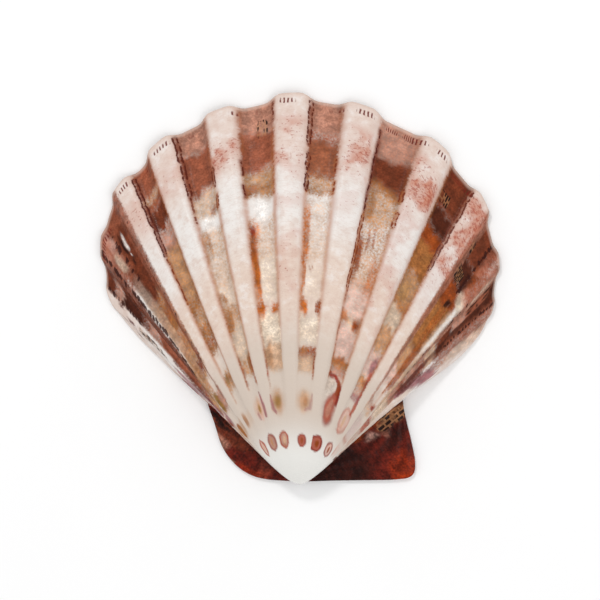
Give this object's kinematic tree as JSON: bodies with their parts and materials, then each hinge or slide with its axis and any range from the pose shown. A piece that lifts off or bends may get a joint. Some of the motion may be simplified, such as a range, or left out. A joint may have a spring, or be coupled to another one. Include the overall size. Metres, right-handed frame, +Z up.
{
  "type": "scallop shell",
  "caption": "Ribbed scallop valve with unequal ears, dome up. A hollow natural shell that rests on its rim and ears as an ornament, or upturned as a small dish.",
  "frame": {"origin": "under the middle of the valve, in the plane that its rim and ears rest on", "axes": "+Z up through the dome, +Y from the hinge to the far margin, +X along the hinge line towards the larger ear"},
  "size_m": [0.0634, 0.062, 0.0132],
  "materials": {
    "shell": "gloss"
  },
  "bodies": {
    "root": {"scallop_valve": "shell"}
  },
  "joints": []
}
